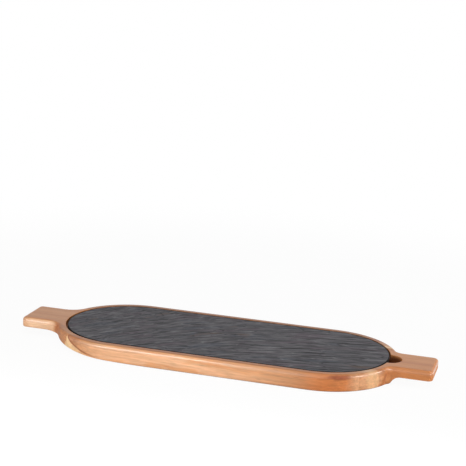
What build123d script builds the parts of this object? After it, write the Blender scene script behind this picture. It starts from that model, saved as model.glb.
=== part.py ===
from build123d import *
from math import sqrt
import os

# A wooden serving tray, glued up from staves, with a loose slate plate in its recess.
# Millimetres. X runs from the plain handle to the handle beside the finger notch, Z is up.
# The origin is on the table, under the middle of the tray.

# Tray
overall_length = 500.0
body_length = 412.0
body_width = 175.0
body_thickness = 20.0
upper_edge_round = 4.0
lower_edge_round = 1.5

# Handles
handle_width = 56.0
handle_thickness = 12.0
handle_corner_radius = 6.0
plain_root_radius = 22.0
notch_root_radius = 11.0

# Underside: a short cove under the notch end, a long sweep under the other end
cove_radius = 12.0
cove_setback = 3.0
cove_lip_round = 3.0
sweep_length = 149.0
sweep_past_root = 1.2

# Recess and finger notch
rim_width = 9.0
rim_edge_break = 0.5
notch_diameter = 30.0
notch_reach = 14.0
notch_depth = 9.0

# Slate plate, level with the rim and pushed towards the notch
slate_thickness = 5.0
slate_gap = 1.5
slate_plain_end_gap = 2.5
slate_edge_break = 0.8

# Staves, cut along the tray at its glue lines
centre_stave_width = 76.0
inner_stave_width = 29.5

# Worked out from the sizes above
half_length = overall_length / 2
half_body = body_length / 2
half_width = body_width / 2
arc_spacing = body_length - body_width
handle_underside = body_thickness - handle_thickness
recess_width = body_width - 2 * rim_width
recess_floor = body_thickness - slate_thickness
recess_tip = half_body - rim_width
slate_width = recess_width - 2 * slate_gap
slate_spare = slate_plain_end_gap - slate_gap
slate_spacing = arc_spacing - slate_spare
notch_centre = recess_tip + notch_reach - notch_diameter / 2
cove_start = half_body - cove_setback
cove_end = cove_start + sqrt(2 * cove_radius * handle_underside - handle_underside**2)
plain_root_end = arc_spacing / 2 + sqrt(
    (half_width + plain_root_radius) ** 2 - (handle_width / 2 + plain_root_radius) ** 2
)
sweep_end = -plain_root_end - sweep_past_root
sweep_start = sweep_end + sweep_length
inner_seam = centre_stave_width / 2
outer_seam = inner_seam + inner_stave_width

os.makedirs("parts", exist_ok=True)


with BuildPart() as tray:
    # Plan: a body with round ends, and a paddle handle on each end
    with BuildSketch() as plan:
        SlotCenterToCenter(arc_spacing, body_width)
        Rectangle(overall_length, handle_width)
        fillet(plan.vertices().filter_by(lambda v: abs(v.X) > half_body), handle_corner_radius)
        for end, radius in ((-1, plain_root_radius), (1, notch_root_radius)):
            on_round_end = plan.vertices().filter_by(lambda v: 0 < end * v.X < half_body)
            fillet(on_round_end.filter_by(lambda v: abs(v.Y) < half_width * 0.99), radius)
    extrude(amount=body_thickness)

    # Side: the flat underside rises to the underside of each handle
    with BuildSketch(Plane.XZ) as side:
        with BuildLine():
            Polyline(
                (cove_end, handle_underside),
                (half_length, handle_underside),
                (half_length, body_thickness),
                (-half_length, body_thickness),
                (-half_length, handle_underside),
                (sweep_end, handle_underside),
            )
            TangentArc((sweep_start, 0), (sweep_end, handle_underside), tangent=(-1, 0))
            Line((sweep_start, 0), (cove_start, 0))
            TangentArc((cove_end, handle_underside), (cove_start, 0), tangent=(-1, 0))
        make_face()
        fillet(side.vertices().sort_by_distance((cove_start, 0, 0))[0], cove_lip_round)
    extrude(amount=body_width, both=True, mode=Mode.INTERSECT)

    # Round the outer edges, above and below
    fillet(tray.edges().group_by(Axis.Z)[-1], upper_edge_round)
    underside = tray.faces().filter_by(lambda f: f.normal_at().Z < -0.01)
    walls = tray.faces().filter_by(lambda f: abs(f.normal_at().Z) < 0.01)
    fillet(underside.edges() & walls.edges(), lower_edge_round)

    # The recess for the slate, and the finger notch at one end of it
    with BuildSketch(Plane.XY.offset(body_thickness)):
        SlotCenterToCenter(arc_spacing, recess_width)
    extrude(amount=-slate_thickness, mode=Mode.SUBTRACT)
    with BuildSketch(Plane.XY.offset(body_thickness)):
        with Locations((notch_centre, 0)):
            Circle(notch_diameter / 2)
    extrude(amount=-notch_depth, mode=Mode.SUBTRACT)
    top_face = tray.faces().sort_by(Axis.Z)[-1]
    chamfer(top_face.inner_wires()[0].edges(), rim_edge_break)


def cut_stave(name, low, high):
    # One stave: the part of the tray between two glue lines
    with BuildPart() as stave:
        add(tray.part)
        with Locations((0, (low + high) / 2, body_thickness / 2)):
            Box(overall_length, high - low, body_thickness, mode=Mode.INTERSECT)
    stave.part.label = name
    export_step(stave.part, f"parts/{name}.step")


cut_stave("stave_centre", -inner_seam, inner_seam)
cut_stave("stave_inner_near", -outer_seam, -inner_seam)
cut_stave("stave_inner_far", inner_seam, outer_seam)
cut_stave("stave_outer_near", -half_width, -outer_seam)
cut_stave("stave_outer_far", outer_seam, half_width)


with BuildPart() as slate:
    with BuildSketch(Plane.XY.offset(recess_floor)):
        with Locations((slate_spare / 2, 0)):
            SlotCenterToCenter(slate_spacing, slate_width)
    extrude(amount=slate_thickness)
    chamfer(slate.edges().group_by(Axis.Z)[-1], slate_edge_break)
slate.part.label = "slate_plate"
export_step(slate.part, "parts/slate_plate.step")
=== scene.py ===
import math

import bmesh
import bpy
from mathutils import Matrix, Vector


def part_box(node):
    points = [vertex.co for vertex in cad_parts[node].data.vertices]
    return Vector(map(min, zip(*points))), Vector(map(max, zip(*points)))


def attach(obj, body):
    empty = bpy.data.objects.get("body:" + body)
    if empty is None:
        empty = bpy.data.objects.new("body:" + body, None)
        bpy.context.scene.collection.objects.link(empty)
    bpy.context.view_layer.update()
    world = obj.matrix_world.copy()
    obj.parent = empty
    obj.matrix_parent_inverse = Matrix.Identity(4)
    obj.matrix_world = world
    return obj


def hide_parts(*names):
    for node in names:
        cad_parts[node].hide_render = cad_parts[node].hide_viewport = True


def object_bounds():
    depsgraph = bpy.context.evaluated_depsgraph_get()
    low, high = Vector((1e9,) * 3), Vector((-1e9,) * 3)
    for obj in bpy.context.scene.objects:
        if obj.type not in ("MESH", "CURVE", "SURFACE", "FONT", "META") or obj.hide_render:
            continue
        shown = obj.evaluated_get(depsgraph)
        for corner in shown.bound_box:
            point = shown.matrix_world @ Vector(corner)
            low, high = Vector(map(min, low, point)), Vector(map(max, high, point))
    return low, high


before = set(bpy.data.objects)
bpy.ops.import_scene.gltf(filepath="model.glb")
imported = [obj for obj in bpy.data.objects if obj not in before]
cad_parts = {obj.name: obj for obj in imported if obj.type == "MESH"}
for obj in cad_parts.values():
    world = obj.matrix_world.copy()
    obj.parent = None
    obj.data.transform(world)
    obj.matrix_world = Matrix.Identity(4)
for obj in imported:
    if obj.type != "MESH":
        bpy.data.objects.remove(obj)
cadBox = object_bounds()
print("frame loaded:", len(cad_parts), "CAD nodes")

mm = 0.001
hair = 0.001 * mm  # finer than any edge
touching = 0.01 * mm  # two points closer than this are one
trayLow, trayHigh = (Vector(corner) for corner in cadBox)
slateLow, slateHigh = (Vector(corner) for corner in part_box("slate_plate"))
innerSeam = Vector(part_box("stave_centre")[1]).y
outerSeam = Vector(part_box("stave_inner_far")[1]).y


# small helpers over the editing tools

def deselectAll():
    if bpy.context.mode != "OBJECT":
        bpy.ops.object.mode_set(mode="OBJECT")
    bpy.ops.object.select_all(action="DESELECT")


def pick(piece):
    deselectAll()
    piece.select_set(True)
    bpy.context.view_layer.objects.active = piece


def openEdit(piece, mode="VERT"):
    pick(piece)
    bpy.ops.object.mode_set(mode="EDIT")
    bpy.ops.mesh.select_mode(type=mode)


def closeEdit():
    bpy.ops.object.mode_set(mode="OBJECT")


def selectEdges(piece, wanted):
    bpy.ops.mesh.select_all(action="DESELECT")
    shape = bmesh.from_edit_mesh(piece.data)
    found = [edge for edge in shape.edges if wanted(edge)]
    for edge in found:
        edge.select = True
    shape.select_flush_mode()
    bmesh.update_edit_mesh(piece.data)
    return len(found)


def drawOutline(name, onPlane, axis, start, strokes):
    # one vertex, extruded along lines and spun round arcs
    deselectAll()
    bpy.ops.mesh.primitive_plane_add(size=1 * mm, location=(0, 0, 0))
    piece = bpy.context.object
    piece.name = name
    bpy.ops.object.mode_set(mode="EDIT")
    bpy.ops.mesh.merge(type="CENTER")
    bpy.ops.transform.translate(value=onPlane(start))
    pen = onPlane(start)
    for kind, at, amount, steps in strokes:
        if kind == "line":
            step = (onPlane(at) - pen) / steps
            for _ in range(steps):
                bpy.ops.mesh.extrude_vertices_move(TRANSFORM_OT_translate={"value": step})
            pen = onPlane(at)
        else:
            bpy.ops.mesh.spin(steps=steps, angle=-amount, center=onPlane(at), axis=axis)
            pen = onPlane(at) + Matrix.Rotation(amount, 3, axis) @ (pen - onPlane(at))
    closeEdit()
    return piece


def fillAndExtrude(piece, travel):
    openEdit(piece)
    bpy.ops.mesh.select_all(action="SELECT")
    bpy.ops.mesh.remove_doubles(threshold=hair)
    bpy.ops.mesh.edge_face_add()
    bpy.ops.mesh.extrude_region_move(TRANSFORM_OT_translate={"value": travel})
    bpy.ops.mesh.select_all(action="SELECT")
    bpy.ops.mesh.normals_make_consistent(inside=False)
    closeEdit()


def shift(piece, travel):
    openEdit(piece)
    bpy.ops.mesh.select_all(action="SELECT")
    bpy.ops.transform.translate(value=travel)
    closeEdit()


def applyModifier(piece, kind, **settings):
    modifier = piece.modifiers.new(kind.title(), kind)
    for key, value in settings.items():
        setattr(modifier, key, value)
    pick(piece)
    bpy.ops.object.modifier_apply(modifier=modifier.name)


def cutWith(piece, cutter, operation):
    applyModifier(piece, "BOOLEAN", operation=operation, solver="EXACT", object=cutter)
    bpy.data.objects.remove(cutter, do_unlink=True)


def setStops(colourRamp, stops):
    while len(colourRamp.elements) < len(stops):
        colourRamp.elements.new(0.5)
    for element, (position, level) in zip(colourRamp.elements, stops):
        element.position = position
        element.color = (level, level, level, 1)


def inPlan(point):
    return Vector((point[0], point[1], 0.0))


def inSide(point):
    return Vector((point[0], 0.0, point[1]))


upAxis = Vector((0, 0, 1))
acrossAxis = Vector((0, -1, 0))  # a positive turn goes from +X to +Z
rightAngle = math.pi / 2


# the wooden tray, drawn whole and sawn into its staves afterwards
traySizes = dict(
    bodyLength=412 * mm,
    handleWidth=56 * mm,
    handleThickness=12 * mm,
    handleCorner=6 * mm,
    plainRoot=22 * mm,
    notchRoot=11 * mm,
    upperRound=4 * mm,
    lowerRound=1.5 * mm,
    coveRadius=12 * mm,
    coveSetback=3 * mm,
    coveLip=3 * mm,
    sweepLength=149 * mm,
    sweepOverrun=1.2 * mm,
    rimWidth=9 * mm,
    rimBreak=0.5 * mm,
    notchDiameter=30 * mm,
    notchReach=14 * mm,
    notchDepth=9 * mm,
    spare=6 * mm,  # how far a cutter reaches past what it cuts
    cutWeld=0.005 * mm,  # points closer than this are joined after the cuts
    sawWeld=0.002 * mm,  # and after the saw
    endSteps=44,
    rootSteps=12,
    cornerSteps=12,
    sweepSteps=20,
    coveSteps=7,
    recessSteps=60,
    notchSteps=72,
    upperSteps=9,
    rimSteps=3,
    lowerSteps=4,
    smoothAngle=32,
)


def endCentre(size):
    # of each round end, along the board
    return size["bodyLength"] / 2 - trayHigh.y


def rootArc(size, root):
    # where the concave root between a round end and its handle is centred, and its turn
    radius = trayHigh.y
    arcX = endCentre(size)
    rootY = size["handleWidth"] / 2 + root
    rootX = arcX + math.sqrt((radius + root) ** 2 - rootY ** 2)
    return rootX, rootY, rightAngle - math.atan2(rootY, rootX - arcX)


def rootCreases(size):
    root = size["notchRoot"]
    rootX, _, turn = rootArc(size, root)
    steps = size["rootSteps"]
    return [rootX - root * math.sin(turn * (1 - step / steps)) for step in range(steps + 1)]


def trayBlank(size):
    half = trayHigh.x
    radius = trayHigh.y
    arcX = endCentre(size)
    handleY = size["handleWidth"] / 2
    corner = size["handleCorner"]
    notchX, notchY, notchTurn = rootArc(size, size["notchRoot"])
    plainX, plainY, plainTurn = rootArc(size, size["plainRoot"])
    farHalf = [
        ("line", (half, handleY - corner), 0, 1),
        ("arc", (half - corner, handleY - corner), rightAngle, size["cornerSteps"]),
        ("line", (notchX, handleY), 0, 1),
        ("arc", (notchX, notchY), -notchTurn, size["rootSteps"]),
        ("arc", (arcX, 0), notchTurn, size["endSteps"]),
        ("line", (-arcX, radius), 0, 1),
        ("arc", (-arcX, 0), plainTurn, size["endSteps"]),
        ("arc", (-plainX, plainY), -plainTurn, size["rootSteps"]),
        ("line", (corner - half, handleY), 0, 1),
        ("arc", (corner - half, handleY - corner), rightAngle, size["cornerSteps"]),
        ("line", (-half, 0), 0, 1),
    ]
    blank = drawOutline("trayBlank", inPlan, upAxis, (half, 0), farHalf)
    applyModifier(blank, "MIRROR", use_axis=(False, True, False), merge_threshold=touching)
    fillAndExtrude(blank, (0, 0, trayHigh.z + size["spare"]))
    shift(blank, (0, 0, -size["spare"]))
    return blank


def sideProfile(size):
    # the flat underside runs out in a short cove at one end and a long sweep at the other
    beyond = trayHigh.x + size["spare"]
    above = trayHigh.z + size["spare"]
    under = trayHigh.z - size["handleThickness"]
    coveStart = size["bodyLength"] / 2 - size["coveSetback"]
    cove = size["coveRadius"]
    lip = size["coveLip"]
    coveEnd = coveStart + math.sqrt(2 * cove * under - under ** 2)
    coveZ = under - cove
    lipX = coveEnd - math.sqrt((cove + lip) ** 2 - (lip - coveZ) ** 2)
    lipEnd = lipX + (coveEnd - lipX) * lip / (cove + lip)

    def coveHeight(x):
        if x < lipEnd:
            return lip - math.sqrt(lip ** 2 - (x - lipX) ** 2)
        return coveZ + math.sqrt(cove ** 2 - (coveEnd - x) ** 2)

    # the cove's creases meet the upright creases of the handle's root, so both bevel cleanly
    flatEnd = max(x for x in rootCreases(size) if x < lipX)
    creases = [x for x in rootCreases(size) if x > lipX]
    rest = coveEnd - creases[-1]
    steps = size["coveSteps"]
    creases += [creases[-1] + rest * step / steps for step in range(1, steps + 1)]
    sweepEnd = -rootArc(size, size["plainRoot"])[0] - size["sweepOverrun"]
    sweepStart = sweepEnd + size["sweepLength"]
    sweepRadius = (size["sweepLength"] ** 2 + under ** 2) / (2 * under)
    sweepTurn = math.asin(size["sweepLength"] / sweepRadius)
    strokes = [
        ("line", (-beyond, above), 0, 1),
        ("line", (-beyond, under), 0, 1),
        ("line", (sweepEnd, under), 0, 1),
        ("arc", (sweepStart, sweepRadius), sweepTurn, size["sweepSteps"]),
        ("line", (flatEnd, 0), 0, 1),
    ]
    strokes += [("line", (x, coveHeight(x)), 0, 1) for x in creases]
    strokes += [
        ("line", (beyond, under), 0, 1),
        ("line", (beyond, above), 0, 1),
    ]
    profile = drawOutline("sideProfile", inSide, acrossAxis, (beyond, above), strokes)
    reach = trayHigh.y + size["spare"]
    fillAndExtrude(profile, (0, 2 * reach, 0))
    shift(profile, (0, -reach, 0))
    return profile


def recessCutter(size):
    arcX = endCentre(size)
    radius = trayHigh.y - size["rimWidth"]
    quarter = [
        ("line", (arcX, radius), 0, 1),
        ("arc", (arcX, 0), -rightAngle, size["recessSteps"]),
    ]
    cutter = drawOutline("recessCutter", inPlan, upAxis, (0, radius), quarter)
    applyModifier(cutter, "MIRROR", use_axis=(True, True, False), merge_threshold=touching)
    fillAndExtrude(cutter, (0, 0, size["spare"] + trayHigh.z - slateLow.z))
    shift(cutter, (0, 0, slateLow.z))
    return cutter


def notchCentre(size):
    tip = size["bodyLength"] / 2 - size["rimWidth"] + size["notchReach"]
    return tip - size["notchDiameter"] / 2


def notchCutter(size):
    deselectAll()
    bpy.ops.mesh.primitive_circle_add(
        vertices=size["notchSteps"], radius=size["notchDiameter"] / 2,
        location=(notchCentre(size), 0, trayHigh.z - size["notchDepth"]),
    )
    cutter = bpy.context.object
    bpy.ops.object.transform_apply(location=True, rotation=False, scale=False)
    fillAndExtrude(cutter, (0, 0, size["notchDepth"] + size["spare"]))
    return cutter


def makeTray(size):
    tray = trayBlank(size)
    cutWith(tray, sideProfile(size), "INTERSECT")
    cutWith(tray, recessCutter(size), "DIFFERENCE")
    cutWith(tray, notchCutter(size), "DIFFERENCE")
    arcX = endCentre(size)
    upright = 0.01  # most that the normal of a wall rises
    level = (0.99, 1.01)  # how much that of the top does
    below = (-1.01, -0.1)  # and that of the underside, with its cove and sweep

    def wallBeside(edge, rise):
        # the upright face of an edge whose other face rises within the given bounds
        if len(edge.link_faces) != 2:
            return None
        wall, other = sorted(edge.link_faces, key=lambda face: abs(face.normal.z))
        if abs(wall.normal.z) < upright and rise[0] < other.normal.z < rise[1]:
            return wall
        return None

    def facesOut(edge, wall):
        middle = (edge.verts[0].co + edge.verts[1].co) / 2
        spine = Vector((max(-arcX, min(arcX, middle.x)), 0, middle.z))
        return wall.normal.dot(middle - spine) > 0

    def onTop(edge):
        return min(vert.co.z for vert in edge.verts) > trayHigh.z - touching

    def outerTop(edge):
        wall = wallBeside(edge, level)
        return wall is not None and onTop(edge) and facesOut(edge, wall)

    def rimTop(edge):
        wall = wallBeside(edge, level)
        return wall is not None and onTop(edge) and not facesOut(edge, wall)

    def underEdge(edge):
        return wallBeside(edge, below) is not None

    openEdit(tray, "EDGE")
    bpy.ops.mesh.select_all(action="SELECT")
    bpy.ops.mesh.remove_doubles(threshold=size["cutWeld"])
    bevels = (
        (outerTop, size["upperRound"], size["upperSteps"]),
        (rimTop, size["rimBreak"], size["rimSteps"]),
        (underEdge, size["lowerRound"], size["lowerSteps"]),
    )
    for wanted, radius, segments in bevels:
        count = selectEdges(tray, wanted)
        bpy.ops.mesh.bevel(offset=radius, segments=segments, affect="EDGES", clamp_overlap=False)
        print("rounded", count, "edges to", round(radius / mm, 2), "mm")
    bpy.ops.mesh.select_all(action="SELECT")
    bpy.ops.mesh.normals_make_consistent(inside=False)
    closeEdit()
    return tray


def sawStave(tray, name, low, high, size):
    pick(tray)
    bpy.ops.object.duplicate()
    stave = bpy.context.object
    stave.name = name
    openEdit(stave)
    for seam, keepAbove in ((low, True), (high, False)):
        if abs(seam) > trayHigh.y - touching:
            continue
        bpy.ops.mesh.select_all(action="SELECT")
        bpy.ops.mesh.bisect(
            plane_co=(0, seam, 0), plane_no=(0, 1, 0), use_fill=True,
            clear_inner=keepAbove, clear_outer=not keepAbove, threshold=hair,
        )
    bpy.ops.mesh.select_all(action="SELECT")
    bpy.ops.mesh.remove_doubles(threshold=size["sawWeld"])
    bpy.ops.mesh.normals_make_consistent(inside=False)
    closeEdit()
    bpy.ops.object.shade_smooth_by_angle(angle=math.radians(size["smoothAngle"]))
    applyModifier(stave, "WEIGHTED_NORMAL", mode="FACE_AREA", weight=100, keep_sharp=True)
    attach(stave, "tray")
    return stave


tray = makeTray(traySizes)
staveCuts = dict(
    stave_centre=(-innerSeam, innerSeam),
    stave_inner_near=(-outerSeam, -innerSeam),
    stave_inner_far=(innerSeam, outerSeam),
    stave_outer_near=(trayLow.y, -outerSeam),
    stave_outer_far=(outerSeam, trayHigh.y),
)
staves = {}
for node, (low, high) in staveCuts.items():
    staves[node] = sawStave(tray, "oiled_" + node, low, high, traySizes)
    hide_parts(node)
    print("sawn", node, len(staves[node].data.polygons), "faces")
bpy.data.objects.remove(tray, do_unlink=True)


# the slate plate, split from the block and never ground flat
slateSizes = dict(
    edgeBreak=0.8 * mm,
    straightSteps=172,
    endSteps=174,
    edgeSteps=2,
    smoothAngle=40,
    calmEdge=5 * mm,
    edgeShare=0.12,  # of the relief, along the edge
    grainSlope=0.52,  # of the cleavage in plan, half way along the plate
    grainBend=-1.5,  # how fast that slope eases towards the notch, per metre
    grainCurl=3.0,  # and how that easing dies away, per square metre
    ridgeStretch=2.6,  # how much longer a ridge is than wide
    ridgeEasing=0.9,  # how much longer the ridges grow towards the notch, per metre
    layers=(
        # name, width of one ridge, depth, stops of the steps
        ("swell", 26 * mm, 0.12 * mm, None),
        ("ledge", 8 * mm, 0.42 * mm,
         ((0.0, 0.0), (0.30, 0.06), (0.34, 0.26), (0.43, 0.32), (0.46, 0.54), (0.55, 0.60), (0.58, 0.80),
          (0.68, 0.86), (0.72, 1.0))),
        ("ripple", 4.6 * mm, 0.36 * mm, None),
    ),
)


def acrossGrain(x, y, size):
    # steady along each line of the cleavage, for numbers and for shader sums
    return y - x * size["grainSlope"] - x * x * size["grainBend"] - x * x * x * size["grainCurl"]


def alongGrain(x, y, size):
    return x + y * size["grainSlope"] - x * x * size["ridgeEasing"]


def grainMap(slate, size):
    # a flat map of the plate whose first axis follows the cleavage
    layer = slate.data.uv_layers.new(name="cleavage")
    places = [vert.co for vert in slate.data.vertices]
    flat = []
    for loop in slate.data.loops:
        x, y, _ = places[loop.vertex_index]
        flat.append(alongGrain(x, y, size) / size["ridgeStretch"])
        flat.append(acrossGrain(x, y, size))
    layer.data.foreach_set("uv", flat)


def splitLayer(slate, name, ridge, depth, stops):
    texture = bpy.data.textures.new(name, "CLOUDS")
    texture.noise_basis = "BLENDER_ORIGINAL"
    texture.noise_scale = 2 * ridge
    texture.noise_depth = 2
    if stops:
        texture.use_color_ramp = True
        setStops(texture.color_ramp, stops)
    applyModifier(
        slate, "DISPLACE", texture=texture, texture_coords="UV", uv_layer="cleavage",
        direction="Z", mid_level=1.0, strength=depth, vertex_group="splitFace",
    )


def slateSpine():
    # the plate's middle along the board, and from there the centres of its round ends
    middle = (slateLow.x + slateHigh.x) / 2
    return middle, slateHigh.x - middle - slateHigh.y


def makeSlate(size):
    radius = slateHigh.y
    middle, arcX = slateSpine()
    quarter = [
        ("line", (arcX, radius), 0, size["straightSteps"]),
        ("arc", (arcX, 0), -rightAngle, size["endSteps"]),
    ]
    slate = drawOutline("riven_slate_plate", inPlan, upAxis, (0, radius), quarter)
    applyModifier(slate, "MIRROR", use_axis=(True, True, False), merge_threshold=touching)
    openEdit(slate)
    bpy.ops.mesh.select_all(action="SELECT")
    bpy.ops.transform.translate(value=(middle, 0, slateHigh.z))
    # the grid's corners lie half way round each end
    shape = bmesh.from_edit_mesh(slate.data)
    corner = Vector((middle + arcX, 0, slateHigh.z)) + radius * Vector((1, -1, 0)).normalized()
    nearest = min(shape.verts, key=lambda vert: (vert.co - corner).length)
    shape.select_history.clear()
    shape.select_history.add(nearest)
    bmesh.update_edit_mesh(slate.data)
    bpy.ops.mesh.fill_grid(span=size["endSteps"], offset=0)
    bpy.ops.mesh.select_mode(type="EDGE")
    selectEdges(slate, lambda edge: len(edge.link_faces) == 1)
    bpy.ops.mesh.extrude_region_move(TRANSFORM_OT_translate={"value": (0, 0, slateLow.z - slateHigh.z)})
    bpy.ops.mesh.edge_face_add()
    bpy.ops.mesh.select_all(action="SELECT")
    bpy.ops.mesh.normals_make_consistent(inside=False)

    def topArris(edge):
        # between the flat top and the wall
        rises = [face.normal.z for face in edge.link_faces]
        return len(rises) == 2 and min(rises) < 0.1 and max(rises) > 0.9

    selectEdges(slate, topArris)
    bpy.ops.mesh.bevel(
        offset=size["edgeBreak"], segments=size["edgeSteps"], affect="EDGES", clamp_overlap=False
    )
    closeEdit()
    # the split face is calmer towards its edge, so the plate stays level with the rim there
    face = slate.vertex_groups.new(name="splitFace")
    for vert in slate.data.vertices:
        if vert.co.z > slateHigh.z - touching:
            beyond = max(abs(vert.co.x - middle) - arcX, 0)
            inside = radius - math.hypot(beyond, vert.co.y)
            share = size["edgeShare"]
            face.add([vert.index], share + (1 - share) * min(inside / size["calmEdge"], 1), "REPLACE")
    grainMap(slate, size)
    for layer in size["layers"]:
        splitLayer(slate, *layer)
    slate.vertex_groups.clear()
    slate.data.uv_layers.remove(slate.data.uv_layers["cleavage"])
    pick(slate)
    bpy.ops.object.shade_smooth_by_angle(angle=math.radians(size["smoothAngle"]))
    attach(slate, "slate")
    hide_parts("slate_plate")
    return slate


slate = makeSlate(slateSizes)
print("slate split:", len(slate.data.polygons), "faces")


# shader sums are written as sums

class Wire:
    def __init__(self, tree, out=None):
        self.tree = tree
        self.out = out

    def node(self, kind, settings=None, sockets=None, out=0):
        made = self.tree.nodes.new("ShaderNode" + kind)
        for key, value in (settings or {}).items():
            if key == "stops":
                setStops(made.color_ramp, value)
            else:
                setattr(made, key, value)
        for key, value in (sockets or {}).items():
            if isinstance(value, Wire):
                self.tree.links.new(value.out, made.inputs[key])
            else:
                made.inputs[key].default_value = value
        return Wire(self.tree, made.outputs[out] if len(made.outputs) else None)

    def sum(self, operation, first, second=0.0):
        return self.node("Math", {"operation": operation}, {0: first, 1: second})

    def __add__(self, other):
        return self.sum("ADD", self, other)

    def __radd__(self, other):
        return self.sum("ADD", other, self)

    def __sub__(self, other):
        return self.sum("SUBTRACT", self, other)

    def __rsub__(self, other):
        return self.sum("SUBTRACT", other, self)

    def __mul__(self, other):
        return self.sum("MULTIPLY", self, other)

    def __rmul__(self, other):
        return self.sum("MULTIPLY", other, self)

    def __truediv__(self, other):
        return self.sum("DIVIDE", self, other)

    def __pow__(self, other):
        return self.sum("POWER", self, other)

    def __mod__(self, other):
        return self.sum("FLOORED_MODULO", self, other)


def startMaterial(name):
    material = bpy.data.materials.new(name)
    material.use_nodes = True
    material.node_tree.nodes.clear()
    return material, Wire(material.node_tree)


seedSteps = (1.0, 1.7, 0.6)  # how far a seed moves a noise along each axis


def noise(place, stretch, seed, detail, rough, twist=0.0):
    start = tuple(seed * step for step in seedSteps)
    moved = place.node("Mapping", None, {"Vector": place, "Location": start, "Scale": stretch})
    sockets = {"Vector": moved, "Scale": 1.0, "Detail": detail, "Roughness": rough, "Distortion": twist}
    return moved.node("TexNoise", None, sockets)


def ramp(value, low, high, bottom=0.0, top=1.0):
    sockets = {"Value": value, 1: low, 2: high, 3: bottom, 4: top}
    return value.node("MapRange", {"interpolation_type": "SMOOTHSTEP"}, sockets)


def blend(factor, first, second, kind="MIX"):
    sockets = {0: factor, 6: first, 7: second}
    return factor.node("Mix", {"data_type": "RGBA", "blend_type": kind}, sockets, 2)


def shade(colour, amount):
    return amount.node("VectorMath", {"operation": "SCALE"}, {0: colour, "Scale": amount})


def rgb(red, green, blue):
    return (red, green, blue, 1.0)


def axes(vector):
    return [vector.node("SeparateXYZ", None, {0: vector}, axis) for axis in "XYZ"]


def between(first, second, share):
    return first * share + second * (1 - share)


def swing(level):
    # a noise about its mean
    return level - 0.5


def fromSpine(x, y, arcX):
    # how far from the line along the middle that ends at arcX either way
    beyond = x.sum("MAXIMUM", x.sum("ABSOLUTE", x) - arcX, 0.0)
    return (beyond * beyond + y * y) ** 0.5


# oiled hardwood: each stave is cut from its own log, so its rings have their own heart
woodFinish = dict(
    wanderReach=9 * mm,  # how far the heart strays across the board
    swayReach=8 * mm,  # and up and down
    flutterReach=1.4 * mm,  # how far a ring does
    ringStops=((0.0, 0.35), (0.12, 0.0), (0.55, 0.15), (0.88, 1.0), (1.0, 0.35)),  # late wood over a year
    yearStep=0.73,  # from one year to the next in the noise that sets its late wood
    yearLevels=(0.25, 0.75, 0.25, 1.0),  # no two years have as much late wood
    bandShare=0.6,  # of the broad bands against the narrow streaks
    toneLevels=(0.36, 0.64),  # from honey to amber
    bandDepth=0.1,
    lastRingInset=0.6 * mm,
    lastRing=(0.3 * mm, 1.4 * mm, 0.80, 0.0),  # dark within the first width, gone by the second
    sapEdge=0.8 * mm,
    frontTilt=(-0.3, -0.75),  # of the faces that take the pale front colour and painted sheen, from none to all of it
    paleFrontAndSheenVein=0.6,  # share of the veins in the pale front colour and painted sheen
    paleFrontAndSheenLevels=(0.30, 0.55, 0.55, 1.0),
    honeyVein=0.7,  # and in the honey that shows through it
    veinLevels=(0.50, 0.58, 0.0, 0.66),
    paleFrontAndSheenLate=0.35,
    patchFray=0.8,
    patchDrift=0.6,
    fibreDepth=0.62,
    figureDepth=0.58,  # of the short flecks across the fibres
    topTilt=(0.3, 0.9),
    topCalm=0.65,  # how much of both the sanded top loses
    poreLevels=(0.66, 0.74),
    poreDepth=0.20,
    roughness=0.33,
    fibreRough=0.2,  # what each of these adds to that
    poreRough=0.15,
    routedRough=0.25,
    notchShadeRough=0.3,
    endRough=0.30,
    specular=0.28,
    bump=0.12,
    bumpReach=0.3 * mm,
    fibreRise=0.5,  # shares of that relief
    lateRise=0.3,
    poreDrop=0.6,
    arris=(14.6 * mm, 15.6 * mm, 17.6 * mm, 18.9 * mm),  # heights of the burnished upper edge
    arrisTilt=(-0.75, -0.35),
    arrisRoughness=0.22,
    arrisIndex=1.55,
    cutBlur=0.1 * mm,
    rawAndShadedRecess=rgb(0.40, 0.33, 0.28),  # what the wood of the recess keeps of its colour: raw wood, and painted shade in the gap round the slate
    routedBelow=(0.9 * mm, 0.4 * mm),  # the rim, all of it and none
    notchShade=rgb(0.24, 0.09, 0.03),  # and that of the finger notch: painted shade, deeper towards its floor
    notchShadeBelow=(6.5 * mm, 1.0 * mm),
    endGrain=rgb(1.0, 0.95, 0.88),  # and wood cut square across
    paintedContactShade=(0.4 * mm, 1.6 * mm, 0.55, 0.0),  # heights of the arris on the table, and how dark the painted contact shade is there
)
# stretch, seed, detail and roughness of each noise in the wood; the seed adds to the stave's own
woodNoise = dict(
    wander=((5, 24, 24), 0, 2, 0.5),
    sway=((6, 18, 18), 4, 2, 0.5),
    flutter=((22, 180, 180), 9, 3, 0.5),
    fibre=((16, 520, 520), 13, 3, 0.6),
    band=((3.5, 60, 60), 17, 2, 0.5),
    pore=((60, 1300, 1300), 23, 1, 0.5),
    streak=((9, 170, 170), 29, 2, 0.5),
    figure=((48, 230, 230), 37, 2, 0.5),
    vein=((4, 110, 110), 41, 2, 0.5),
)
honey = rgb(0.64, 0.28, 0.105)
amber = rgb(0.53, 0.195, 0.062)
russet = rgb(0.30, 0.088, 0.030)
sapwood = rgb(0.83, 0.56, 0.30)
blush = rgb(0.85, 0.49, 0.28)
cream = rgb(0.94, 0.61, 0.38)
rose = rgb(0.60, 0.18, 0.045)
wine = rgb(0.26, 0.066, 0.028)
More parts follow.
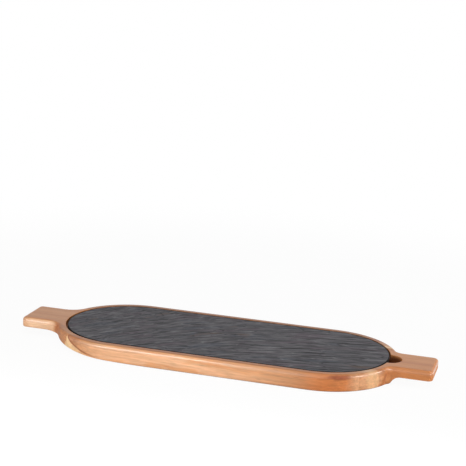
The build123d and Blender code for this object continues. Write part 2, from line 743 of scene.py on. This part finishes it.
staveWood = dict(
    stave_centre=dict(
        seed=3.1, heart=(12 * mm, -90 * mm), lean=(0.01, 0.012), pitch=3.4 * mm, sapFrom=140 * mm,
        tone=1.0, late=0.22, lively=0.4,
        # pale wood and painted sheen on the front of the plain handle
        paleFrontAndSheen=dict(colour=cream, rise=(-300 * mm, -290 * mm), fall=(-210 * mm, -202 * mm)),
        patches=(
            # colour, centre, reach, softness, strength
            (wine, (200 * mm, -33 * mm, 8 * mm), (6 * mm, 8 * mm, 7 * mm), 0.35, 0.55),
            (honey, (201 * mm, -32 * mm, 7 * mm), (4 * mm, 5.5 * mm, 4.5 * mm), 0.30, 0.85),
            (amber, (228 * mm, -29 * mm, 13 * mm), (34 * mm, 7 * mm, 12 * mm), 0.30, 0.80),
            # painted shade in the concave root beside the plain handle
            (russet, (-199 * mm, -39 * mm, 11 * mm), (8 * mm, 8 * mm, 14 * mm), 0.35, 0.50),
            (amber, (-249 * mm, -29 * mm, 12 * mm), (9 * mm, 7 * mm, 12 * mm), 0.50, 0.40),
        ),
    ),
    stave_inner_near=dict(
        seed=7.7, heart=(-52 * mm, -55 * mm), lean=(-0.01, 0.018), pitch=3.0 * mm, sapFrom=140 * mm,
        tone=0.86, late=0.42, lively=1.0,
        patches=(
            (blush, (186 * mm, -56 * mm, 10 * mm), (26 * mm, 14 * mm, 13 * mm), 0.35, 0.50),
            (sapwood, (187 * mm, -53 * mm, 8 * mm), (18 * mm, 7.5 * mm, 12 * mm), 0.25, 0.38),
            # painted shade in the concave root beside the plain handle
            (russet, (-195 * mm, -43 * mm, 10 * mm), (9 * mm, 10 * mm, 14 * mm), 0.40, 0.50),
            (sapwood, (-176 * mm, -68 * mm, 3 * mm), (5 * mm, 4 * mm, 8 * mm), 0.25, 0.80),
        ),
    ),
    stave_inner_far=dict(
        seed=12.9, heart=(50 * mm, -60 * mm), lean=(0.012, -0.01), pitch=3.2 * mm, sapFrom=82 * mm,
        tone=0.80, late=0.42, lively=1.0,
        patches=(
            (russet, (-186 * mm, 52 * mm, 20 * mm), (24 * mm, 20 * mm, 8 * mm), 0.50, 0.28),
            (blush, (187 * mm, 50 * mm, 20 * mm), (14 * mm, 13 * mm, 6 * mm), 0.50, 0.45),
        ),
    ),
    stave_outer_near=dict(
        seed=21.3, heart=(-112 * mm, 54 * mm), lean=(0.0, -0.027), pitch=3.3 * mm, sapFrom=60.4 * mm,
        sapSpan=(-126 * mm, -146 * mm), tone=0.80, late=0.42, lively=1.0,
        # pale wood and painted sheen on the front wall, fading towards the notch end
        paleFrontAndSheen=dict(colour=blush, rise=(-182 * mm, -112 * mm), fall=(5 * mm, 160 * mm)),
        patches=(
            (rose, (148 * mm, -82 * mm, 8 * mm), (34 * mm, 14 * mm, 14 * mm), 0.50, 0.60),
            (wine, (155 * mm, -79 * mm, 16.5 * mm), (17 * mm, 9 * mm, 2.6 * mm), 0.50, 0.85),
            (blush, (179 * mm, -68 * mm, 9 * mm), (17 * mm, 9 * mm, 15 * mm), 0.55, 0.55),
            (russet, (-160 * mm, -74 * mm, 19 * mm), (9 * mm, 6 * mm, 5 * mm), 0.50, 0.40),
        ),
    ),
    stave_outer_far=dict(
        seed=33.8, heart=(72 * mm, 64 * mm), lean=(0.01, -0.015), pitch=3.3 * mm, sapFrom=62 * mm,
        tone=0.62, late=0.42, lively=1.0,
        patches=(),
    ),
)


def inPatch(place, centre, reach, soft, wobble):
    # 1 inside an egg about the centre, 0 outside it
    gap = place.node("VectorMath", {"operation": "SUBTRACT"}, {0: place, 1: centre})
    gap = gap.node("VectorMath", {"operation": "DIVIDE"}, {0: gap, 1: reach})
    far = gap.node("VectorMath", {"operation": "LENGTH"}, {0: gap}, "Value") + wobble
    return ramp(far, 1 - soft, 1 + soft, 1.0, 0.0)


def cutAway(distance, radius, z, below, blur):
    # 1 within the radius of a cut and below the rim, 0 outside it
    low, high = below
    inside = ramp(distance, radius - blur, radius + blur, 1.0, 0.0)
    return inside * ramp(z, trayHigh.z - low, trayHigh.z - high, 1.0, 0.0)


def inRecess(x, y, z, finish):
    radius = trayHigh.y - traySizes["rimWidth"]
    distance = fromSpine(x, y, endCentre(traySizes))
    return cutAway(distance, radius, z, finish["routedBelow"], finish["cutBlur"])


def inNotch(x, y, z, finish):
    radius = traySizes["notchDiameter"] / 2
    beyond = x - notchCentre(traySizes)
    fromNotch = (beyond * beyond + y * y) ** 0.5
    return cutAway(fromNotch, radius, z, finish["notchShadeBelow"], finish["cutBlur"])


def woodMaterial(name, wood, finish):
    material, start = startMaterial(name)
    place = start.node("TexCoord", None, None, "Object")
    facing = start.node("TexCoord", None, None, "Normal")
    x, y, z = axes(place)
    facingX, facingY, facingZ = axes(facing)

    def grown(kind):
        stretch, seed, detail, rough = woodNoise[kind]
        return noise(place, stretch, wood["seed"] + seed, detail, rough)

    # rings about the heart of the log, which wanders and leans
    wander = swing(grown("wander"))
    sway = swing(grown("sway"))
    flutter = swing(grown("flutter"))
    heartY, heartZ = wood["heart"]
    leanY, leanZ = wood["lean"]
    offY = y - heartY - leanY * x + wander * finish["wanderReach"]
    offZ = z - heartZ - leanZ * x + sway * finish["swayReach"]
    radius = (offY * offY + offZ * offZ) ** 0.5 + flutter * finish["flutterReach"]
    count = radius / wood["pitch"]
    phase = count % 1.0
    late = phase.node("ValToRGB", {"stops": finish["ringStops"]}, {0: phase})
    yearW = count.sum("FLOOR", count) * finish["yearStep"] + wood["seed"]
    year = count.node("TexNoise", {"noise_dimensions": "1D"}, {"W": yearW, "Scale": 1.0, "Detail": 0.0})
    late = late * ramp(year, *finish["yearLevels"])

    fibre = grown("fibre")
    streak = grown("streak")
    band = grown("band")
    figure = grown("figure")
    pore = ramp(grown("pore"), *finish["poreLevels"])

    stripe = between(band, streak, finish["bandShare"])
    colour = blend(ramp(stripe, *finish["toneLevels"]), honey, amber)
    colour = blend(late * wood["late"], colour, russet)
    colour = shade(colour, wood["tone"] + swing(band) * finish["bandDepth"])
    # the last ring of heartwood is dark, and the sapwood outside it pale
    fromLastRing = radius.sum("ABSOLUTE", radius - (wood["sapFrom"] - finish["lastRingInset"]))
    lastRing = ramp(fromLastRing, *finish["lastRing"])
    sap = ramp(radius, wood["sapFrom"], wood["sapFrom"] + finish["sapEdge"])
    if "sapSpan" in wood:
        span = ramp(x, *wood["sapSpan"])
        lastRing = lastRing * span
        sap = sap * span
    colour = blend(sap, colour, sapwood)
    # front faces: pale wood, and painted sheen that fades along the board
    if "paleFrontAndSheen" in wood:
        paleFrontAndSheen = wood["paleFrontAndSheen"]
        front = ramp(facingY, *finish["frontTilt"])
        shown = front * ramp(x, *paleFrontAndSheen["rise"]) * ramp(x, *paleFrontAndSheen["fall"], 1.0, 0.0)
        vein = grown("vein")
        pale = ramp(between(vein, streak, finish["paleFrontAndSheenVein"]), *finish["paleFrontAndSheenLevels"])
        veined = ramp(between(vein, figure, finish["honeyVein"]), *finish["veinLevels"])
        colour = blend(shown * pale, colour, paleFrontAndSheen["colour"])
        colour = blend(shown * veined, colour, honey)
        colour = blend(shown * late * finish["paleFrontAndSheenLate"], colour, rose)
    colour = blend(lastRing, colour, russet)
    polish = 1.0
    for patchColour, centre, reach, soft, strength in wood["patches"]:
        wobble = swing(streak) * finish["patchFray"] + wander * finish["patchDrift"]
        shown = inPatch(place, centre, reach, soft, wobble)
        colour = blend(shown * strength, colour, patchColour)
        if patchColour == wine:
            polish = polish * (1 - shown)

    endFace = facingX * facingX
    # the recess: raw wood, and painted shade in the gap round the slate
    rawAndShadedRecess = inRecess(x, y, z, finish)
    # painted shade in the finger notch, deeper towards its floor
    notchShade = inNotch(x, y, z, finish)
    colour = blend(endFace, colour, finish["endGrain"], "MULTIPLY")
    colour = blend(rawAndShadedRecess * (1 - notchShade), colour, finish["rawAndShadedRecess"], "MULTIPLY")
    colour = blend(notchShade, colour, finish["notchShade"], "MULTIPLY")
    sanded = ramp(facingZ, *finish["topTilt"]) * finish["topCalm"]
    lively = swing(fibre) * finish["fibreDepth"] + swing(figure) * finish["figureDepth"]
    tone = 1 + lively * (1 - sanded) * wood["lively"] - pore * finish["poreDepth"]
    # painted contact shade: darker towards the arris that stands on the table
    colour = shade(colour, tone * (1 - ramp(z, *finish["paintedContactShade"])))
    rough = finish["roughness"] + swing(fibre) * finish["fibreRough"] + pore * finish["poreRough"]
    rough = rough + rawAndShadedRecess * finish["routedRough"] + notchShade * finish["notchShadeRough"]
    rough = rough + endFace * finish["endRough"]
    low, lowFull, highFull, high = finish["arris"]
    burnished = ramp(z, low, lowFull) * ramp(z, highFull, high, 1.0, 0.0) * (1 - rawAndShadedRecess) * (1 - notchShade)
    burnished = burnished * ramp(facingX, *finish["arrisTilt"]) * polish
    height = fibre * finish["fibreRise"] + late * finish["lateRise"] - pore * finish["poreDrop"]
    bump = {"Strength": finish["bump"], "Distance": finish["bumpReach"], "Height": height}
    shader = colour.node("BsdfPrincipled", None, {
        "Base Color": colour,
        "Roughness": rough,
        "Normal": height.node("Bump", None, bump),
        "Specular IOR Level": finish["specular"],
        "Coat Weight": burnished,
        "Coat Roughness": finish["arrisRoughness"],
        "Coat IOR": finish["arrisIndex"],
    })
    shader.node("OutputMaterial", None, {"Surface": shader})
    return material


for node, stave in staves.items():
    stave.data.materials.clear()
    stave.data.materials.append(woodMaterial("oiledWood_" + node, staveWood[node], woodFinish))
print("staves oiled:", len(staves))


# dark riven slate with faint blue, plum and rust in the stone
slateLook = dict(
    dark=rgb(0.022, 0.021, 0.024),
    stone=rgb(0.092, 0.089, 0.097),
    light=rgb(0.190, 0.184, 0.196),
    blue=rgb(0.074, 0.084, 0.104),
    plum=rgb(0.104, 0.080, 0.096),
    rust=rgb(0.150, 0.092, 0.060),
    shadedCutEdge=rgb(0.012, 0.010, 0.009),
    # levels of a noise where each shows, from none of it to most, and how much that is
    ridgeLevels=(0.18, 0.82, 0.0, 1.0),
    stoneLevels=(0.40, 0.62, 0.0, 0.5),
    blueLevels=(0.54, 0.66, 0.0, 0.55),
    plumLevels=(0.46, 0.34, 0.0, 0.55),
    rustLevels=(0.36, 0.44, 0.0, 0.5),
    shadedLevels=(0.35, 0.6, 0.0, 0.7),
    litLevels=(0.35, 0.6, 0.0, 0.5),
    crackLevels=(0.62, 0.67, 0.0, 1.0),
    litLine=0.53,  # level of the noise along the painted highlight at the edge of a split sheet
    shadedLine=0.45,  # and along its painted shade
    lineWidth=0.035,
    crackShare=0.85,
    lipShare=0.30,
    lipWidth=2.0 * mm,
    gritDepth=0.4,
    thinDepth=1.8,
    edgeReach=(0.5 * mm, 1.1 * mm, 1.0, 0.0),
    roughness=0.65,
    ridgeRough=0.2,
    specular=0.12,
    bump=0.6,
    bumpReach=0.5 * mm,
    ridgeRise=0.6,  # shares of that relief
    edgeRise=0.3,
    thinRise=0.3,
    gritRise=0.1,
)
# stretch along and across the cleavage and down, seed, detail, roughness and twist of each noise
slateNoise = dict(
    ridge=((34, 122, 60), 2.0, 3, 0.6, 0.3),
    line=((30, 85, 40), 6.5, 1, 0.5, 0.4),
    thin=((42, 185, 80), 9.0, 2, 0.5, 0.0),
    cloud=((9, 26, 20), 5.0, 3, 0.5, 0.0),
    tint=((14, 60, 20), 11.0, 2, 0.5, 0.0),
    crack=((23, 185, 60), 15.0, 1, 0.5, 0.4),
    grit=((900, 900, 900), 8.0, 2, 0.5, 0.0),
)


def insideSlate(x, y):
    # how far in from the plate's outline
    middle, arcX = slateSpine()
    return slateHigh.y - fromSpine(x - middle, y, arcX)


def slateMaterial(name, look):
    material, start = startMaterial(name)
    place = start.node("TexCoord", None, None, "Object")
    x, y, z = axes(place)
    along = alongGrain(x, y, slateSizes)
    across = acrossGrain(x, y, slateSizes)
    grain = x.node("CombineXYZ", None, {0: along, 1: across, 2: z})
    behind = x.node("CombineXYZ", None, {0: along, 1: across + look["lipWidth"], 2: z})

    ridge, line, thin, cloud, tint = (
        noise(grain, *slateNoise[kind]) for kind in ("ridge", "line", "thin", "cloud", "tint")
    )
    grit = noise(place, *slateNoise["grit"])

    def edgeAt(level):
        return ramp(line.sum("ABSOLUTE", line - level), 0.0, look["lineWidth"], 1.0, 0.0)

    def crackIn(where):
        return ramp(noise(where, *slateNoise["crack"]), *look["crackLevels"])

    colour = blend(ramp(ridge, *look["ridgeLevels"]), look["dark"], look["light"])
    colour = blend(ramp(cloud, *look["stoneLevels"]), colour, look["stone"])
    colour = blend(ramp(tint, *look["blueLevels"]), colour, look["blue"])
    colour = blend(ramp(tint, *look["plumLevels"]), colour, look["plum"])
    colour = blend(ramp(tint * cloud, *look["rustLevels"]), colour, look["rust"])
    # thin edges of the split sheets: a painted highlight on one side and painted shade on the other
    litEdge = edgeAt(look["litLine"])
    shadedEdge = edgeAt(look["shadedLine"])
    colour = blend(shadedEdge * ramp(cloud, *look["shadedLevels"]), colour, look["dark"])
    colour = blend(litEdge * ramp(thin, *look["litLevels"]), colour, look["light"])
    # short cracks with a painted highlight on the lip on the near side
    crack = crackIn(grain)
    lip = crackIn(behind) * (1 - crack)
    colour = blend(crack * look["crackShare"], colour, look["dark"])
    colour = blend(lip * look["lipShare"], colour, look["light"])
    colour = shade(colour, 1 + swing(grit) * look["gritDepth"] + swing(thin) * look["thinDepth"])
    # near-black band round the plate's outline: painted shade of the gap round the plate, and a darker cut
    # edge
    colour = blend(ramp(insideSlate(x, y), *look["edgeReach"]), colour, look["shadedCutEdge"])
    height = ridge * look["ridgeRise"] + litEdge * look["edgeRise"] - shadedEdge * look["edgeRise"]
    height = height + thin * look["thinRise"] + grit * look["gritRise"]
    bump = {"Strength": look["bump"], "Distance": look["bumpReach"], "Height": height}
    shader = colour.node("BsdfPrincipled", None, {
        "Base Color": colour,
        "Roughness": look["roughness"] + swing(ridge) * look["ridgeRough"],
        "Normal": height.node("Bump", None, bump),
        "Specular IOR Level": look["specular"],
    })
    shader.node("OutputMaterial", None, {"Surface": shader})
    return material


slate.data.materials.clear()
slate.data.materials.append(slateMaterial("rivenSlate", slateLook))
print("slate coloured")


# white table and backdrop
tableSizes = dict(
    width=44.0,
    drop=0.15 * mm,
    white=rgb(0.92, 0.92, 0.92),
    shadowShare=0.05,  # of what the camera sees of the table, close to the board
    shadowReach=(0.45, 0.90),
)


def directRay(start):
    # what the camera sees, straight or in a gloss or through glass
    seen = start.node("LightPath", None, None, "Is Camera Ray")
    glossy = start.node("LightPath", None, None, "Is Glossy Ray")
    glass = start.node("LightPath", None, None, "Is Transmission Ray")
    return seen.sum("MAXIMUM", seen.sum("MAXIMUM", seen, glossy), glass)


def makeTable(size):
    deselectAll()
    bpy.ops.mesh.primitive_plane_add(size=size["width"], location=(0, 0, 0))
    table = bpy.context.object
    table.name = "whiteTable"
    shift(table, (0, 0, -size["drop"]))
    material, start = startMaterial("whitePaper")
    direct = directRay(start)
    place = start.node("TexCoord", None, None, "Object")
    far = place.node("VectorMath", {"operation": "LENGTH"}, {0: place}, "Value")
    lit = ramp(far, *size["shadowReach"], 1 - size["shadowShare"], 1.0)
    paper = start.node("BsdfDiffuse", None, {"Color": size["white"]})
    glow = start.node("Emission", None, {"Color": rgb(1, 1, 1), "Strength": 1.0})
    shader = direct.node("MixShader", None, {0: direct * lit, 1: paper, 2: glow})
    shader.node("OutputMaterial", None, {"Surface": shader})
    table.data.materials.append(material)


makeTable(tableSizes)

roomLight = dict(white=rgb(1, 1, 1), fill=0.20)


def lightRoom(light):
    world = bpy.data.worlds.new("whiteRoom")
    bpy.context.scene.world = world
    world.use_nodes = True
    world.node_tree.nodes.clear()
    start = Wire(world.node_tree)
    seen = directRay(start)
    backdrop = start.node("Background", None, {"Color": light["white"], "Strength": 1.0})
    fill = start.node("Background", None, {"Color": light["white"], "Strength": light["fill"]})
    shader = seen.node("MixShader", None, {0: seen, 1: fill, 2: backdrop})
    shader.node("OutputWorld", None, {"Surface": shader})


lightRoom(roomLight)

# place, what it points at, width and height, watts, spread in degrees
softBoxes = dict(
    frontBox=((-0.52, -1.00, 0.13), (-0.05, 0.0, 0.0), (0.6, 0.22), 5.2, 180),
    bounceBox=((-0.05, -0.50, 0.45), (-0.05, -0.50, 0.0), (1.1, 0.3), 5.7, 70),
    topBox=((0.0, -0.1, 1.5), (0.0, 0.0, 0.0), (1.6, 1.6), 8.2, 180),
    rightBox=((1.20, -0.58, 0.28), (0.05, 0.0, 0.0), (0.7, 0.4), 5.8, 180),
    sideBox=((1.10, 0.20, 0.42), (0.2, 0.0, 0.0), (0.4, 0.25), 3.2, 180),
)


def hangSoftBoxes(boxes):
    for name, (place, aim, size, watts, spread) in boxes.items():
        data = bpy.data.lights.new(name, "AREA")
        data.shape = "RECTANGLE"
        data.size, data.size_y = size
        data.energy = watts
        data.spread = math.radians(spread)
        lamp = bpy.data.objects.new(name, data)
        lamp.location = place
        lamp.rotation_euler = (Vector(aim) - Vector(place)).to_track_quat("-Z", "Y").to_euler()
        bpy.context.scene.collection.objects.link(lamp)


hangSoftBoxes(softBoxes)
print("table, room and soft boxes set")

# the photograph's viewpoint: angles in degrees, the focal length in pixels of its frame
cameraFit = dict(
    azimuth=15.316, elevation=17.994, distance=1533.0 * mm, focal=1285.4, frameSize=466,
    pan=-0.119, tilt=4.982, roll=2.861, lookHeight=10 * mm, sensor=36, clipEnd=50,
)


def aimCamera(fit):
    def backward(azimuth, elevation):
        a = math.radians(azimuth)
        e = math.radians(elevation)
        return Vector((math.sin(a) * math.cos(e), -math.cos(a) * math.cos(e), math.sin(e)))

    place = Vector((0, 0, fit["lookHeight"])) + fit["distance"] * backward(fit["azimuth"], fit["elevation"])
    back = backward(fit["azimuth"] + fit["pan"], fit["elevation"] - fit["tilt"])
    right = upAxis.cross(back).normalized()
    up = back.cross(right)
    roll = math.radians(fit["roll"])
    right, up = (
        right * math.cos(roll) + up * math.sin(roll),
        up * math.cos(roll) - right * math.sin(roll),
    )
    data = bpy.data.cameras.new("boardCamera")
    data.sensor_fit = "HORIZONTAL"
    data.sensor_width = fit["sensor"]
    data.lens = data.sensor_width * fit["focal"] / fit["frameSize"]
    data.clip_end = fit["clipEnd"]
    camera = bpy.data.objects.new("boardCamera", data)
    turn = Matrix((right, up, back)).transposed()
    camera.matrix_world = Matrix.Translation(place) @ turn.to_4x4()
    bpy.context.scene.collection.objects.link(camera)
    bpy.context.scene.camera = camera


aimCamera(cameraFit)
bpy.context.scene.view_settings.view_transform = "Standard"
print("camera aimed")
